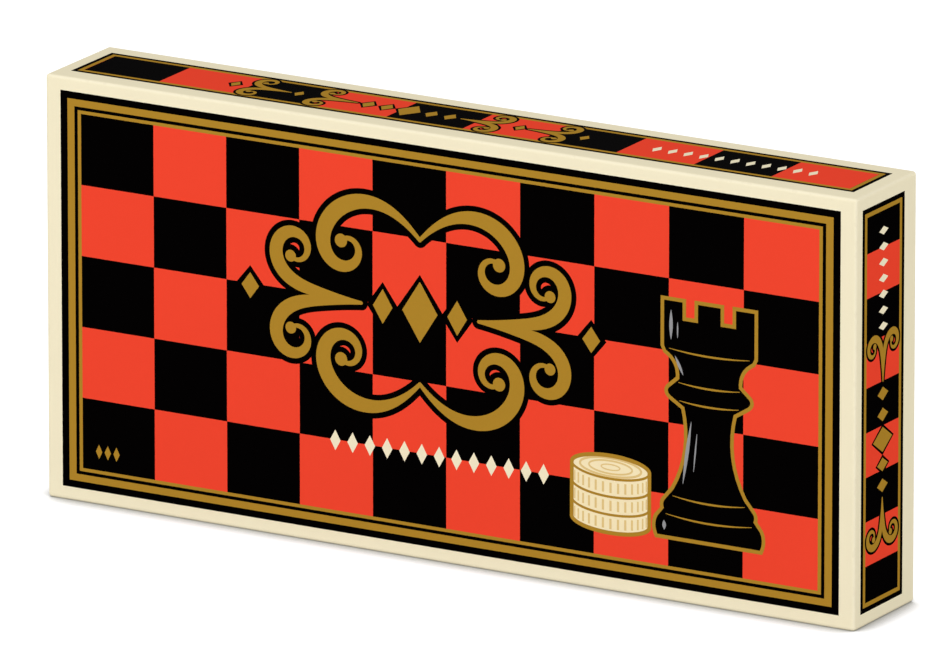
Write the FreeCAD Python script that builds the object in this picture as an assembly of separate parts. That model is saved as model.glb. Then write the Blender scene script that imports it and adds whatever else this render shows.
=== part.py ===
# Boxed chess and checkers set, standing on a long edge of its box.
# Units are millimetres. X runs along the box, Y from its front panel to its back, Z up.
# The origin is on the floor under the middle of the closed box.
import FreeCAD, Part
import math
import os

Vector = FreeCAD.Vector

# Box: a lid that telescopes over the whole depth of its base
box_length = 400.0
box_depth = 52.0
box_height = 190.0
edge_round = 1.5
case_board = 1.6
wrap_paper = 0.25
turn_in = 15.0
slip_fit = 0.5
lid_reveal = 0.5
mouth_gap = 0.8

# Partition of the base
partition_board = 1.6
partition_clear = 0.2
slot_clear = 0.1
tab_width = 14.0

# Folding board
leaf_board = 2.0
print_paper = 0.2
play_gap = 0.3
fold_gap = 0.2
board_front_clear = 0.45
board_top_clear = 0.9
crease_width = 4.0
leaf_corner = 2.0

# Rules leaflet
leaflet_length = 210.0
leaflet_height = 148.0
leaflet_paper = 0.2
leaflet_gap = 0.1
leaflet_clear = 0.4

# Gaps round the loose pieces
seat_clear = 0.1
back_clear = 1.0
pawn_gap = 1.8
checker_gap = 1.2

# Chessmen: the king and the pawn leave this much room above them, the other officers are a share
# of the king's height, and the bases are a share of the inside length of the box
king_headroom = 13.4
pawn_headroom = 3.9
queen_height_share = 0.895
bishop_height_share = 0.79
knight_height_share = 0.724
rook_height_share = 0.632
king_base_share = 0.0794
queen_base_share = 0.0768
bishop_base_share = 0.0691
knight_base_share = 0.0704
rook_base_share = 0.0691
pawn_base_share = 0.0602
pawns_per_shelf = 4

# Checkers
checker_headroom = 11.4
checker_base_share = 0.0819
checker_rim = 3.0
checker_recess = 1.2
checker_ring = 1.6
checker_boss = 8.0
reed_radius = 0.7
reeds = 36
discs_per_node = 6

# Every cut runs this far past the faces it opens
overrun = 1.0

# Places that follow from the sizes above
half_length = box_length / 2
front = -box_depth / 2
back = box_depth / 2
lid_inset = wrap_paper + case_board
lid_mouth_inset = lid_inset + wrap_paper
base_inset = lid_mouth_inset + slip_fit
base_inside = base_inset + wrap_paper + case_board
base_mouth_inset = base_inside + wrap_paper
lid_rim = back - lid_reveal
base_rim = front + lid_inset + mouth_gap
base_floor = back - wrap_paper - case_board

board_front = base_rim + board_front_clear
leaf_stack = leaf_board + print_paper
fold_y = board_front + leaf_stack + play_gap / 2
board_back = fold_y + play_gap / 2 + leaf_stack
leaf_low = base_mouth_inset + seat_clear
leaf_high = box_height - base_mouth_inset - board_top_clear
fold_z = leaf_high + fold_gap / 2
board_side = 2 * (leaf_high - leaf_low) + fold_gap

leaflet_front = board_back + leaflet_clear
leaflet_back = leaflet_front + 2 * leaflet_paper + leaflet_gap
partition_front = leaflet_back + leaflet_clear
partition_middle = (partition_front + base_floor) / 2

mouth_right = half_length - base_mouth_inset
mouth_length = 2 * mouth_right
king_base = king_base_share * mouth_length
queen_base = queen_base_share * mouth_length
bishop_base = bishop_base_share * mouth_length
knight_base = knight_base_share * mouth_length
rook_base = rook_base_share * mouth_length
pawn_base = pawn_base_share * mouth_length
checker_base = checker_base_share * mouth_length
checker_bay = checker_base + 2 * checker_gap
pawn_bay = pawns_per_shelf * pawn_base + (pawns_per_shelf + 1) * pawn_gap
divider_2_left = mouth_right - checker_bay - partition_board
divider_1_left = divider_2_left - pawn_bay - partition_board
shelf_low = (box_height - partition_board) / 2
shelf_high = shelf_low + partition_board

lower_seat = base_mouth_inset + seat_clear
upper_seat = shelf_high + seat_clear
row_seats = {"black": lower_seat, "ivory": upper_seat}
row_height = shelf_low - lower_seat
tier_height = (row_height - partition_board) / 2

king_height = row_height - king_headroom
queen_height = queen_height_share * king_height
bishop_height = bishop_height_share * king_height
knight_height = knight_height_share * king_height
rook_height = rook_height_share * king_height
pawn_height = tier_height - pawn_headroom
checker_height = (row_height - checker_headroom) / (2 * discs_per_node)
men_y = base_floor - back_clear - checker_base / 2

# Turned outlines. A row is a share of the base radius, a share of the height of its own stretch,
# and the bulge of the arc that leads to it, as a share of that arc's chord. Positive bulges outwards.
# A row marked ball ends on the axis, and its arc is centred there.
ball = "ball"
foot_height_share = 0.62
foot_shares = [
    (0.00, 0.00, 0.0), (0.95, 0.00, 0.0), (1.00, 0.07, 0.20), (1.00, 0.32, 0.08), (0.91, 0.40, 0.0),
    (0.91, 0.46, 0.0), (0.86, 0.74, 0.30), (0.64, 1.00, -0.22),
]
stem_width_share = 0.36
stem_bulge_share = -0.06
neck_shares = [
    (0.62, 0.035, 0.0), (0.62, 0.060, 0.40), (0.43, 0.082, 0.0), (0.50, 0.102, 0.35), (0.37, 0.125, 0.0),
]
king_stem_share = 0.52
king_head_shares = [
    (0.58, 0.80, -0.06), (0.60, 0.82, 0.25), (0.22, 0.87, 0.12), (0.13, 0.885, 0.0), (0.0, 0.885, 0.0),
]
queen_stem_share = 0.53
queen_head_shares = [
    (0.62, 0.895, -0.12), (0.57, 0.925, 0.20), (0.46, 0.900, 0.0), (0.12, 0.942, 0.12), (0.0, 1.0, ball),
]
bishop_stem_share = 0.46
bishop_head_shares = [(0.57, 0.725, 0.13), (0.16, 0.925, 0.09), (0.09, 0.930, 0.0), (0.0, 1.0, ball)]
rook_outline_shares = [
    (0.52, 0.50, -0.06), (0.72, 0.55, 0.0), (0.72, 0.59, 0.35), (0.58, 0.63, 0.0), (0.74, 0.77, -0.10),
    (0.79, 0.79, 0.0), (0.79, 1.00, 0.0), (0.54, 1.00, 0.0), (0.54, 0.87, 0.0), (0.0, 0.85, 0.0),
]
pawn_outline_shares = [
    (0.36, 0.38, -0.10), (0.68, 0.47, -0.08), (0.68, 0.51, 0.35), (0.34, 0.585, 0.0), (0.0, 1.0, ball),
]
knight_collar_shares = [
    (0.58, 0.05, -0.15), (0.72, 0.08, 0.0), (0.72, 0.115, 0.35), (0.62, 0.13, 0.0), (0.0, 0.13, 0.0),
]

# King's cross, as shares of the base radius and of the height
cross_low_share = 0.87
cross_bar_share = 0.945
cross_bar_height_share = 0.032
cross_span_share = 0.52
cross_post_share = 0.15
cross_waist_share = 0.09

# Queen's coronet, rook's battlements and bishop's cleft
coronet_points = 9
coronet_notch_share = 0.14
coronet_inside_share = 0.50
coronet_height_share = 0.94
battlement_slots = 3
battlement_width_share = 0.30
battlement_depth_share = 0.10
cleft_width_share = 0.10
cleft_height_share = 0.80
cleft_reach_share = 0.20
cleft_slope_deg = 38.0

# Knight's head: side outline from the back of the neck round by the ears, and half outlines
# from ahead and from above
head_low_share = 0.12
head_length_share = 1.62
head_back_share = 0.66
head_thick_share = 0.98
head_side_shares = [
    (0.13, 0.00, 0.0), (0.00, 0.42, 0.05), (0.26, 0.90, 0.14), (0.34, 1.00, 0.0), (0.43, 0.90, 0.0),
    (0.60, 0.83, 0.06), (0.96, 0.48, -0.03), (1.00, 0.38, 0.25), (0.90, 0.29, 0.22), (0.80, 0.33, -0.10),
    (0.57, 0.41, 0.16), (0.50, 0.35, -0.25), (0.74, 0.12, 0.14), (0.72, 0.00, 0.10),
]
head_front_shares = [
    (0.36, 0.00, 0.0), (0.46, 0.12, 0.15), (0.40, 0.55, -0.03), (0.33, 0.88, 0.05), (0.22, 1.00, 0.0),
    (0.0, 0.93, 0.0),
]
head_plan_shares = [(0.18, 0.00, 0.0), (0.50, 0.42, -0.10), (0.30, 0.78, -0.05), (0.24, 1.00, -0.12)]


def block(low, high):
    """Block between two opposite corners."""
    return Part.makeBox(high.x - low.x, high.y - low.y, high.z - low.z, low)


def upright(inset, y_low, y_high):
    """Block across the whole box, drawn in by inset at its ends, top and bottom."""
    low = Vector(inset - half_length, y_low, inset)
    high = Vector(half_length - inset, y_high, box_height - inset)
    return block(low, high)


def rounded(shape, radius, rim):
    """Rounds every edge that leaves the open rim, which lies across Y."""
    edges = [e for e in shape.Edges if any(abs(v.Y - rim) > radius for v in e.Vertexes)]
    return shape.makeFillet(radius, edges)


def ball_middle(x0, z0, top):
    """Point halfway along the arc from (x0, z0) to the axis at top, centred on the axis."""
    rise = top - z0
    radius = (x0 ** 2 + rise ** 2) / (2 * rise)
    centre = top - radius
    angle = (math.atan2(z0 - centre, x0) + math.pi / 2) / 2
    return Vector(radius * math.cos(angle), 0, centre + radius * math.sin(angle))


def bulged_edges(points):
    """Edges through (across, up, bulge) rows: straight, or arcs whose bulge is a share of the chord."""
    edges = []
    for (x0, z0, _), (x1, z1, bulge) in zip(points, points[1:]):
        start = Vector(x0, 0, z0)
        end = Vector(x1, 0, z1)
        if bulge == ball:
            edges.append(Part.Arc(start, ball_middle(x0, z0, z1), end).toShape())
        elif bulge:
            middle = Vector((x0 + x1) / 2 + bulge * (z1 - z0), 0, (z0 + z1) / 2 - bulge * (x1 - x0))
            edges.append(Part.Arc(start, middle, end).toShape())
        else:
            edges.append(Part.LineSegment(start, end).toShape())
    return edges


def closed_face(points):
    """Flat XZ face inside a bulged outline that a straight edge closes."""
    edges = bulged_edges(points + [(points[0][0], points[0][1], 0.0)])
    return Part.Face(Part.Wire(edges))


def mirrored(points):
    """Rows in reverse order, each with the bulge of the arc that now leads to it."""
    bulges = [0.0] + [row[2] for row in reversed(points[1:])]
    return [(x, z, bulge) for (x, z, _), bulge in zip(reversed(points), bulges)]


def lid():
    """Greyboard shell of the lid and the printed paper that wraps it."""
    outside = rounded(upright(0, front, lid_rim), edge_round, lid_rim)
    core_rim = lid_rim - wrap_paper
    core = rounded(upright(wrap_paper, front + wrap_paper, core_rim), edge_round - wrap_paper, core_rim)
    board = core.cut(upright(lid_inset, front + lid_inset, back + overrun))
    folded_in = upright(lid_inset, lid_rim - turn_in, core_rim)
    mouth = upright(lid_mouth_inset, lid_rim - turn_in - overrun, back + overrun)
    wrap = outside.cut(core).fuse(folded_in).cut(mouth)
    return {"lid_board": board, "lid_wrap": wrap.removeSplitter()}


def base():
    """Greyboard shell of the base, which slips into the lid, and its plain wrap."""
    outside = rounded(upright(base_inset, base_rim, back), edge_round, base_rim)
    core_rim = base_rim + wrap_paper
    core = upright(base_inset + wrap_paper, core_rim, back - wrap_paper)
    core = rounded(core, edge_round - wrap_paper, core_rim)
    board = core.cut(upright(base_inside, front - overrun, base_floor))
    folded_in = upright(base_inside, core_rim, base_rim + turn_in)
    mouth = upright(base_mouth_inset, front - overrun, base_rim + turn_in + overrun)
    wrap = outside.cut(core).fuse(folded_in).cut(mouth)
    return {"base_board": board, "base_wrap": wrap.removeSplitter()}


def partition():
    """Cross-lapped partition: one long shelf, two dividers, and two short shelves tabbed into them."""
    side = mouth_right - partition_clear
    low = base_mouth_inset + partition_clear
    high = box_height - low
    shelf = block(Vector(-side, partition_front, shelf_low), Vector(side, base_floor, shelf_high))
    tab_front = partition_middle - tab_width / 2
    tab_back = partition_middle + tab_width / 2
    pieces = {}
    dividers = []
    for left in (divider_1_left, divider_2_left):
        right = left + partition_board
        lap_low = Vector(left - slot_clear, partition_middle, shelf_low - overrun)
        lap_high = Vector(right + slot_clear, base_floor + overrun, shelf_high + overrun)
        shelf = shelf.cut(block(lap_low, lap_high))
        divider = block(Vector(left, partition_front, low), Vector(right, base_floor, high))
        lap_low = Vector(left - overrun, partition_front - overrun, shelf_low - slot_clear)
        lap_high = Vector(right + overrun, partition_middle, shelf_high + slot_clear)
        dividers.append(divider.cut(block(lap_low, lap_high)))

    pawn_left = divider_1_left + partition_board
    tab_right = divider_2_left + partition_board
    for name, seat in (("lower", lower_seat), ("upper", upper_seat)):
        plate_low = pawn_shelf_low(seat)
        plate_high = plate_low + partition_board
        plate = block(
            Vector(pawn_left, partition_front, plate_low), Vector(divider_2_left, base_floor, plate_high)
        )
        tab = block(
            Vector(divider_1_left, tab_front, plate_low),
            Vector(tab_right, tab_back, plate_high),
        )
        pieces["pawn_shelf_" + name] = plate.fuse(tab).removeSplitter()
        slot = block(
            Vector(divider_1_left - overrun, tab_front - slot_clear, plate_low - slot_clear),
            Vector(tab_right + overrun, tab_back + slot_clear, plate_high + slot_clear),
        )
        dividers = [divider.cut(slot) for divider in dividers]

    pieces["partition_shelf"] = shelf
    for number, divider in enumerate(dividers, start=1):
        pieces[f"partition_divider_{number}"] = divider
    return pieces


def pawn_shelf_low(seat):
    """Underside of the short shelf halfway up the row that starts at seat."""
    return seat + tier_height


def hairpin(length, reach, inner, outer, axis):
    """Sheet folded double about a line along X, with its two legs hanging reach below that line."""
    half = length / 2
    past = half + overrun
    along = Vector(1, 0, 0)
    legs = block(Vector(-half, -outer, -reach), Vector(half, outer, 0))
    gap = block(Vector(-past, -inner, -reach - overrun), Vector(past, inner, 0))
    bend = Part.makeCylinder(outer, length, Vector(-half, 0, 0), along)
    bore = Part.makeCylinder(inner, 2 * past, Vector(-past, 0, 0), along)
    crown = bend.common(block(Vector(-half, -outer, 0), Vector(half, outer, outer)))
    folded = legs.fuse(crown).cut(gap).cut(bore).removeSplitter()
    folded.translate(axis)
    return folded


def sheet(y_low, thickness, top):
    """Leaf or printed sheet up to a given height, with its two outer corners rounded."""
    half = board_side / 2
    plate = block(Vector(-half, y_low, leaf_low), Vector(half, y_low + thickness, top))
    corners = [e for e in plate.Edges if all(abs(v.Z - leaf_low) < leaf_corner for v in e.Vertexes)]
    across = [e for e in corners if abs(e.Vertexes[0].Y - e.Vertexes[1].Y) > thickness / 2]
    return plate.makeFillet(leaf_corner, across)


def folding_board():
    """Two leaves folded playing face to playing face about the crease at their top edge."""
    inner = play_gap / 2
    axis = Vector(0, fold_y, fold_z)
    crease = hairpin(board_side, crease_width + fold_gap / 2, inner, inner + print_paper, axis)
    return {
        "board_leaf_front": sheet(board_front, leaf_board, leaf_high),
        "board_leaf_back": sheet(board_back - leaf_board, leaf_board, leaf_high),
        "board_print_front": sheet(board_front + leaf_board, print_paper, leaf_high - crease_width),
        "board_print_back": sheet(fold_y + inner, print_paper, leaf_high - crease_width),
        "board_crease": crease,
    }


def rules_leaflet():
    """Folded sheet that stands behind the board."""
    inner = leaflet_gap / 2
    outer = inner + leaflet_paper
    axis = Vector(0, leaflet_front + outer, lower_seat + leaflet_height)
    return {"rules_leaflet": hairpin(leaflet_length, leaflet_height, inner, outer, axis)}


def scaled_rows(shares, radius, low, height):
    """Share rows as (radius, height, bulge) rows in millimetres."""
    return [(r * radius, low + z * height, bulge) for r, z, bulge in shares]


def turned(base_diameter, height, shares):
    """Solid of revolution: the common foot, then the piece's own outline above it."""
    radius = base_diameter / 2
    foot = foot_height_share * radius
    points = scaled_rows(foot_shares, radius, 0, foot) + scaled_rows(shares, radius, foot, height - foot)
    return closed_face(points).revolve(Vector(0, 0, 0), Vector(0, 0, 1), math.degrees(math.tau))


def stemmed(stem_share, head_shares):
    """Outline of a tall man: a drawn-in stem, the two neck rings, then its head."""
    neck = [(r, stem_share + z, bulge) for r, z, bulge in neck_shares]
    return [(stem_width_share, stem_share, stem_bulge_share)] + neck + head_shares


def king():
    """King: flared head under a small cross with drawn-in arms."""
    radius = king_base / 2
    body = turned(king_base, king_height, stemmed(king_stem_share, king_head_shares))
    foot = foot_height_share * radius
    rest = king_height - foot
    low = foot + cross_low_share * rest
    middle = foot + cross_bar_share * rest
    arm = cross_bar_height_share * rest
    span = cross_span_share * radius / 2
    post = cross_post_share * radius
    waist = cross_waist_share * radius
    right = [(post, low, 0.0), (waist, middle - arm, 0.0), (span, middle - 2 * arm, 0.0)]
    right += [(span, middle + arm, 0.0), (waist, middle, 0.0), (post, king_height, 0.0)]
    left = [(-x, z, bulge) for x, z, bulge in reversed(right)]
    cross = closed_face(right + left).extrude(Vector(0, 2 * post, 0))
    cross.translate(Vector(0, -post, 0))
    return body.fuse(cross).removeSplitter()


def queen():
    """Queen: open coronet with a scalloped rim round a small ball."""
    radius = queen_base / 2
    body = turned(queen_base, queen_height, stemmed(queen_stem_share, queen_head_shares))
    foot = foot_height_share * radius
    height = foot + coronet_height_share * (queen_height - foot)
    notch = coronet_notch_share * radius
    inside = coronet_inside_share * radius
    for number in range(coronet_points):
        turn = math.tau * number / coronet_points
        outwards = Vector(math.cos(turn), math.sin(turn), 0)
        start = outwards * inside + Vector(0, 0, height)
        body = body.cut(Part.makeCylinder(notch, radius, start, outwards))
    return body


def bishop():
    """Bishop: pointed mitre with a slanted cleft."""
    radius = bishop_base / 2
    body = turned(bishop_base, bishop_height, stemmed(bishop_stem_share, bishop_head_shares))
    foot = foot_height_share * radius
    height = foot + cleft_height_share * (bishop_height - foot)
    width = cleft_width_share * radius
    reach = cleft_reach_share * radius
    cleft = block(Vector(reach, -radius, -width / 2), Vector(radius, radius, width / 2))
    cleft.rotate(Vector(0, 0, 0), Vector(0, 1, 0), -cleft_slope_deg)
    cleft.translate(Vector(0, 0, height))
    return body.cut(cleft)


def rook():
    """Rook: round tower with battlements cut through its rim."""
    radius = rook_base / 2
    body = turned(rook_base, rook_height, rook_outline_shares)
    rest = rook_height - foot_height_share * radius
    width = battlement_width_share * radius
    low = rook_height - battlement_depth_share * rest
    slot = block(Vector(-radius, -width / 2, low), Vector(radius, width / 2, rook_height + overrun))
    for number in range(battlement_slots):
        turn = math.degrees(math.pi) * number / battlement_slots
        turned_slot = slot.copy()
        turned_slot.rotate(Vector(0, 0, 0), Vector(0, 0, 1), turn)
        body = body.cut(turned_slot)
    return body


def pawn():
    """Pawn: wide collar under a plain ball."""
    return turned(pawn_base, pawn_height, pawn_outline_shares)


def knight():
    """Knight: horse's head where outlines from the side, ahead and above meet. It faces the front."""
    radius = knight_base / 2
    body = turned(knight_base, knight_height, knight_collar_shares)
    foot = foot_height_share * radius
    low = foot + head_low_share * (knight_height - foot)
    tall = knight_height - low
    long = head_length_share * radius
    thick = head_thick_share * radius
    side_rows = [(u * long, low + v * tall, bulge) for u, v, bulge in head_side_shares]
    side = closed_face([(u, v, -bulge) for u, v, bulge in side_rows]).extrude(Vector(0, thick, 0))
    side.translate(Vector(-head_back_share * radius, -thick / 2, 0))
    side.rotate(Vector(0, 0, 0), Vector(0, 0, 1), -math.degrees(math.pi) / 2)
    right = [(x * thick, low + v * tall, bulge) for x, v, bulge in head_front_shares]
    left = [(-x, v, bulge) for x, v, bulge in mirrored(right[:-1])]
    ahead = closed_face(right + left).extrude(Vector(0, 2 * long, 0))
    ahead.translate(Vector(0, -long, 0))
    right = [(x * thick, u * long, -bulge) for x, u, bulge in head_plan_shares]
    left = [(-x, u, bulge) for x, u, bulge in mirrored(right)]
    above = closed_face(right + left).extrude(Vector(0, knight_height, 0))
    above.rotate(Vector(0, 0, 0), Vector(1, 0, 0), math.degrees(math.pi) / 2)
    above.translate(Vector(0, head_back_share * radius, 0))
    return body.fuse(side.common(ahead).common(above)).removeSplitter()


def checker():
    """Checker: reeded edge, raised rim, one ring and a boss on both faces."""
    radius = checker_base / 2
    disc = Part.makeCylinder(radius, checker_height)
    ring_outer = (radius - checker_rim + checker_boss / 2 + checker_ring) / 2
    for floor in (-overrun, checker_height - checker_recess):
        deep = checker_recess + overrun
        well = Part.makeCylinder(radius - checker_rim, deep, Vector(0, 0, floor))
        ring = Part.makeCylinder(ring_outer, deep, Vector(0, 0, floor))
        ring = ring.cut(Part.makeCylinder(ring_outer - checker_ring, deep, Vector(0, 0, floor)))
        boss = Part.makeCylinder(checker_boss / 2, deep, Vector(0, 0, floor))
        disc = disc.cut(well.cut(ring).cut(boss))
    reed = Part.makeCylinder(reed_radius, checker_height + 2 * overrun, Vector(radius, 0, -overrun))
    cutters = []
    for number in range(reeds):
        groove = reed.copy()
        groove.rotate(Vector(0, 0, 0), Vector(0, 0, 1), math.degrees(math.tau) * number / reeds)
        cutters.append(groove)
    return disc.cut(Part.makeCompound(cutters))


def placed(shape, x, z):
    """Copy of a man or disc standing at x on a seat at height z."""
    copy = shape.copy()
    copy.translate(Vector(x, men_y, z))
    return copy


def officers(colour, seat):
    """Eight officers in a row, evenly spaced along their bay."""
    order = [
        ("rook_left", rook(), rook_base),
        ("knight_left", knight(), knight_base),
        ("bishop_left", bishop(), bishop_base),
        ("queen", queen(), queen_base),
        ("king", king(), king_base),
        ("bishop_right", bishop(), bishop_base),
        ("knight_right", knight(), knight_base),
        ("rook_right", rook(), rook_base),
    ]
    bay = divider_1_left + mouth_right
    gap = (bay - sum(base for _, _, base in order)) / (len(order) + 1)
    x = -mouth_right
    pieces = {}
    for name, shape, diameter in order:
        pieces[f"{colour}_{name}"] = placed(shape, x + gap + diameter / 2, seat)
        x += gap + diameter
    return pieces


def pawns(colour, seat):
    """Eight pawns: four on the floor of the row and four on the short shelf above them."""
    shape = pawn()
    seats = (seat, pawn_shelf_low(seat) + partition_board + seat_clear)
    first = divider_1_left + partition_board + pawn_gap + pawn_base / 2
    pieces = {}
    for tier, height in enumerate(seats):
        for column in range(pawns_per_shelf):
            number = tier * pawns_per_shelf + column + 1
            x = first + column * (pawn_base + pawn_gap)
            pieces[f"{colour}_pawn_{number}"] = placed(shape, x, height)
    return pieces


def checkers(colour, seat):
    """One stack of discs, rim on rim, as a lower and an upper node."""
    shape = checker()
    x = mouth_right - checker_bay / 2
    pieces = {}
    for part, name in enumerate(("lower", "upper")):
        first = part * discs_per_node
        discs = [placed(shape, x, seat + (first + n) * checker_height) for n in range(discs_per_node)]
        pieces[f"{colour}_checkers_{name}"] = Part.makeCompound(discs)
    return pieces


def build():
    """Every node of the set, by name."""
    nodes = {}
    for group in (lid(), base(), partition(), folding_board(), rules_leaflet()):
        nodes.update(group)
    for colour, seat in row_seats.items():
        for group in (officers(colour, seat), pawns(colour, seat), checkers(colour, seat)):
            nodes.update(group)
    return nodes


os.makedirs("parts", exist_ok=True)
for node, shape in build().items():
    shape.exportStep(f"parts/{node}.step")
    print(f"{node}: {len(shape.Solids)} solids, {shape.Volume:.0f} mm3, valid {shape.isValid()}")
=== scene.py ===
# %% [markdown]
# # A boxed chess and checkers set
#
# The real object is a stiff greyboard box, covered with printed paper, that stands on one long edge.
# Its lid slips over the whole base. Inside lie a folding board, a rules leaflet, 32 chessmen and
# 24 checkers. The CAD model already gives every piece its shape, size and joint, so this lesson
# adds what CAD leaves out: ink, paper, fibre, embossing and moulded plastic.

# %% Load the CAD model
import math
from functools import partial

import bmesh
import bpy
from mathutils import Matrix, Vector


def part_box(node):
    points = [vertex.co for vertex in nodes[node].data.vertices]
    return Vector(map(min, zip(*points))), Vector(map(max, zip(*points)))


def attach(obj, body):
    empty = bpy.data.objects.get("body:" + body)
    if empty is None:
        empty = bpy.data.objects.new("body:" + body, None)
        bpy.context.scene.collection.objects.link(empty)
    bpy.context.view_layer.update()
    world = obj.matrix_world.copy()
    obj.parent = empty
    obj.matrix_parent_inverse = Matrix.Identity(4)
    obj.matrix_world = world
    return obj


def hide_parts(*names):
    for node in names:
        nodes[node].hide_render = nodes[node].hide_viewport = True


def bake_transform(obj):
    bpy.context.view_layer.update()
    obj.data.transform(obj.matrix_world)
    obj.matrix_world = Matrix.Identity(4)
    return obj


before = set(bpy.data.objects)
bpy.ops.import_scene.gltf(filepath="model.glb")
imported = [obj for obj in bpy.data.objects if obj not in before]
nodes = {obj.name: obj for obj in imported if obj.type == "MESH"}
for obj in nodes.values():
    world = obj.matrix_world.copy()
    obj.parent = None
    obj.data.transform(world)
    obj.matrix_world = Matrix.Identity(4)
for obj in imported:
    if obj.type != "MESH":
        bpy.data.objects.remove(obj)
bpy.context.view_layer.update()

# %% [markdown]
# ## Units, colours and the box's own sizes
#
# Blender works in metres, but print and paper are easier to think of in millimetres, so sizes are
# written in millimetres and MM turns them into metres. Inks are written as the screen colours that
# the photograph shows. A shader wants linear light, so rgb() undoes the screen's curve.

# %% Units, colours and sizes
MM = 0.001
MM_PER_METRE = 1000.0


def rgb(*screen):
    """Screen colour, 0 to 255, as the linear colour that a shader takes."""
    shares = [value / 255 for value in screen]
    return (*[((s + 0.055) / 1.055) ** 2.4 if s > 0.04 else s / 12.92 for s in shares], 1.0)


INK_RED = rgb(241, 70, 47)
INK_BLACK = rgb(3, 2, 2)
INK_GOLD = rgb(173, 131, 43)
# Painted highlight for the edges of the paper, partly paper whitened at the folds.
PAPER_IVORY = rgb(244, 234, 202)
EDGE_HIGHLIGHT_WHITE = rgb(250, 247, 238)
PAPER_RUBBED = rgb(226, 214, 184)
PRINT_SHINE = 0.0003

lid_low, lid_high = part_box("lid_wrap")
base_low, base_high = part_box("base_wrap")
box_middle = (lid_low + lid_high) / 2
print("lid", [round(size / MM, 2) for size in lid_high - lid_low], "mm")

# %% [markdown]
# ## Small tools for shader trees
#
# A material is a tree of nodes. These helpers keep each later step to a few lines: feed() fills or
# links one socket, add() puts a node into the tree that its inputs come from, and maths(), vectors()
# and mixed() add the nodes that are needed most. new_group() opens a group whose inputs and outputs
# have names, so that several materials can share one effect, and coat() sets what a surface shows.

# %% Nodes
FLOAT = "NodeSocketFloat"
COLOUR = "NodeSocketColor"
VECTOR = "NodeSocketVector"
NOWHERE = (0.0, 0.0, 0.0)
EVEN = (1.0, 1.0, 1.0)


def feed(socket, value):
    """Links a value into a socket, or sets the socket to a plain value."""
    if isinstance(value, bpy.types.NodeSocket):
        socket.id_data.links.new(value, socket)
    else:
        socket.default_value = value


def add(kind, inputs, tree=None, **settings):
    """Adds one node with its settings and inputs, to a given tree or to that of its first link."""
    links = [value for value in inputs.values() if isinstance(value, bpy.types.NodeSocket)]
    made = (tree or links[0].id_data).nodes.new(kind)
    for name, value in settings.items():
        setattr(made, name, value)
    for name, value in inputs.items():
        feed(made.inputs[name], value)
    return made


def maths(operation, *values):
    """Result of one Math node."""
    return add("ShaderNodeMath", dict(enumerate(values)), operation=operation).outputs[0]


plus, minus, times = [partial(maths, operation) for operation in ("ADD", "SUBTRACT", "MULTIPLY")]
below, above = [partial(maths, operation) for operation in ("LESS_THAN", "GREATER_THAN")]


def vectors(operation, *values):
    """Result of one Vector Math node."""
    return add("ShaderNodeVectorMath", dict(enumerate(values)), operation=operation).outputs[0]


def scaled(vector, scale):
    """A vector or colour times one number."""
    return add("ShaderNodeVectorMath", {0: vector, "Scale": scale}, operation="SCALE").outputs[0]


def mixed(share, first, second):
    """Colour that goes from first to second as share goes from 0 to 1."""
    made = add("ShaderNodeMix", {0: share, 6: first, 7: second}, data_type="RGBA")
    return made.outputs[2]


def ramp(value, low, high, to_low=0.0, to_high=1.0):
    """Value eased from to_low to to_high between two thresholds."""
    inputs = {0: value, 1: low, 2: high, 3: to_low, 4: to_high}
    return add("ShaderNodeMapRange", inputs, interpolation_type="SMOOTHSTEP").outputs[0]


def noise(vector, scale, detail=2.0, stretch=EVEN):
    """Noise at a scale per millimetre, finer along the axes that stretch enlarges."""
    if stretch != EVEN:
        vector = vectors("MULTIPLY", vector, stretch)
    inputs = {"Vector": vector, "Scale": scale, "Detail": detail}
    return add("ShaderNodeTexNoise", inputs).outputs["Fac"]


print("node helpers ready")

# %% Groups, materials and objects
def new_group(name, inputs, outputs, tree_kind="ShaderNodeTree"):
    """Empty group with named sockets, and its two ends."""
    group = bpy.data.node_groups.new(name, tree_kind)
    for label, (kind, value) in inputs.items():
        socket = group.interface.new_socket(name=label, in_out="INPUT", socket_type=kind)
        if value is not None:
            socket.default_value = value
    for label, kind in outputs.items():
        group.interface.new_socket(name=label, in_out="OUTPUT", socket_type=kind)
    given = group.nodes.new("NodeGroupInput").outputs
    made = group.nodes.new("NodeGroupOutput").inputs
    return group, given, made


def use(group, **values):
    """Places a group, with its inputs by name (an underscore stands for a space)."""
    inputs = {label.replace("_", " "): value for label, value in values.items()}
    return add("ShaderNodeGroup", inputs, node_tree=group).outputs


def new_material(name):
    """Material with its tree and its Principled shader."""
    material = bpy.data.materials.new(name)
    material.use_nodes = True
    tree = material.node_tree
    return material, tree, tree.nodes["Principled BSDF"]


def millimetres(tree, centre=NOWHERE):
    """Object coordinates in millimetres from a point that is given in metres."""
    place = add("ShaderNodeTexCoord", {}, tree).outputs["Object"]
    return scaled(vectors("SUBTRACT", place, centre), MM_PER_METRE)


def axes(vector):
    """The three parts of a vector."""
    return add("ShaderNodeSeparateXYZ", {0: vector}).outputs


def coat(surface, colour, roughness, shine, height=None, relief=None):
    """Gives a surface its looks. A relief is how strong and how many millimetres deep the height is."""
    feed(surface.inputs["Base Color"], colour)
    feed(surface.inputs["Roughness"], roughness)
    feed(surface.inputs["Specular IOR Level"], shine)
    if relief:
        strength, depth = relief
        inputs = {"Height": height, "Strength": strength, "Distance": depth * MM}
        feed(surface.inputs["Normal"], add("ShaderNodeBump", inputs).outputs[0])


def new_object(name, data):
    """Object at the origin, in the scene."""
    made = bpy.data.objects.new(name, data)
    bpy.context.scene.collection.objects.link(made)
    return made


def dress(material, *names):
    """Gives CAD nodes a finished material in their own slots."""
    for name in names:
        for slot in nodes[name].material_slots:
            slot.material = material


print("group, material and object helpers ready")
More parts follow.
